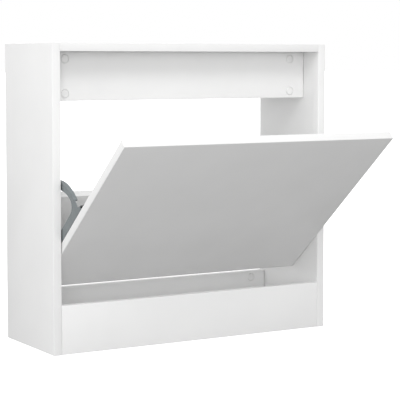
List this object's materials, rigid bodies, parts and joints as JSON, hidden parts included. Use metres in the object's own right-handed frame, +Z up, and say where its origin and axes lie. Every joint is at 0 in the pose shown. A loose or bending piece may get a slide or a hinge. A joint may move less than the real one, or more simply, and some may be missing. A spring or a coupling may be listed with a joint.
{
  "type": "shoe cabinet",
  "caption": "Low, shallow white shoe cabinet of foil-faced boards with one tilt-out flap on moulded side brackets, standing open.",
  "frame": {"origin": "on the floor, under the middle of the whole cabinet's box with the flap tilted open", "axes": "+X to the right seen from the front, +Y to the back, +Z up"},
  "size_m": [0.6, 0.4594, 0.57],
  "materials": {
    "white_board": "white melamine foil on chipboard, fine satin texture",
    "shelf_board": "pale grey foil, satin",
    "grey_plastic": "fine moulded texture",
    "white_plastic": "smooth moulded",
    "rubber": "matt black",
    "steel": "turned, zinc plated",
    "zinc": "die cast, bright"
  },
  "bodies": {
    "cabinet": {"side_panel_left": "white_board", "side_panel_right": "white_board", "top_panel": "white_board", "top_rail": "white_board", "plinth": "white_board", "lower_back_rail": "white_board", "pivot_pin_left": "steel", "stop_pin_left": "steel", "pivot_pin_right": "steel", "stop_pin_right": "steel", "top_rail_upper_left_cam": "zinc", "top_rail_upper_left_bolt": "steel", "top_rail_upper_left_cap": "white_plastic", "top_rail_upper_right_cam": "zinc", "top_rail_upper_right_bolt": "steel", "top_rail_upper_right_cap": "white_plastic", "top_rail_lower_left_cam": "zinc", "top_rail_lower_left_bolt": "steel", "top_rail_lower_left_cap": "white_plastic", "top_rail_lower_right_cam": "zinc", "top_rail_lower_right_bolt": "steel", "top_rail_lower_right_cap": "white_plastic", "lower_rail_upper_left_cam": "zinc", "lower_rail_upper_left_bolt": "steel", "lower_rail_upper_left_cap": "white_plastic", "lower_rail_upper_right_cam": "zinc", "lower_rail_upper_right_bolt": "steel", "lower_rail_upper_right_cap": "white_plastic", "lower_rail_lower_left_cam": "zinc", "lower_rail_lower_left_bolt": "steel", "lower_rail_lower_left_cap": "white_plastic", "lower_rail_lower_right_cam": "zinc", "lower_rail_lower_right_bolt": "steel", "lower_rail_lower_right_cap": "white_plastic", "top_panel_front_left_cam": "zinc", "top_panel_front_left_bolt": "steel", "top_panel_front_right_cam": "zinc", "top_panel_front_right_bolt": "steel", "top_panel_rear_left_cam": "zinc", "top_panel_rear_left_bolt": "steel", "top_panel_rear_right_cam": "zinc", "top_panel_rear_right_bolt": "steel", "plinth_left_cam": "zinc", "plinth_left_bolt": "steel", "plinth_right_cam": "zinc", "plinth_right_bolt": "steel"},
    "flap": {"flap_door": "white_board", "compartment_floor_board": "shelf_board", "compartment_back_board": "shelf_board", "flap_bracket_left": "grey_plastic", "flap_buffer_left": "rubber", "bracket_screw_left_1": "zinc", "bracket_screw_left_2": "zinc", "bracket_screw_left_3": "zinc", "flap_bracket_right": "grey_plastic", "flap_buffer_right": "rubber", "bracket_screw_right_1": "zinc", "bracket_screw_right_2": "zinc", "bracket_screw_right_3": "zinc"}
  },
  "joints": [
    {"name": "flap_hinge", "type": "hinge", "parent": "cabinet", "child": "flap", "pos_m": [0, 0.03863, 0.1984], "axis": [-1, 0, 0], "range_deg": [0, 50]}
  ]
}
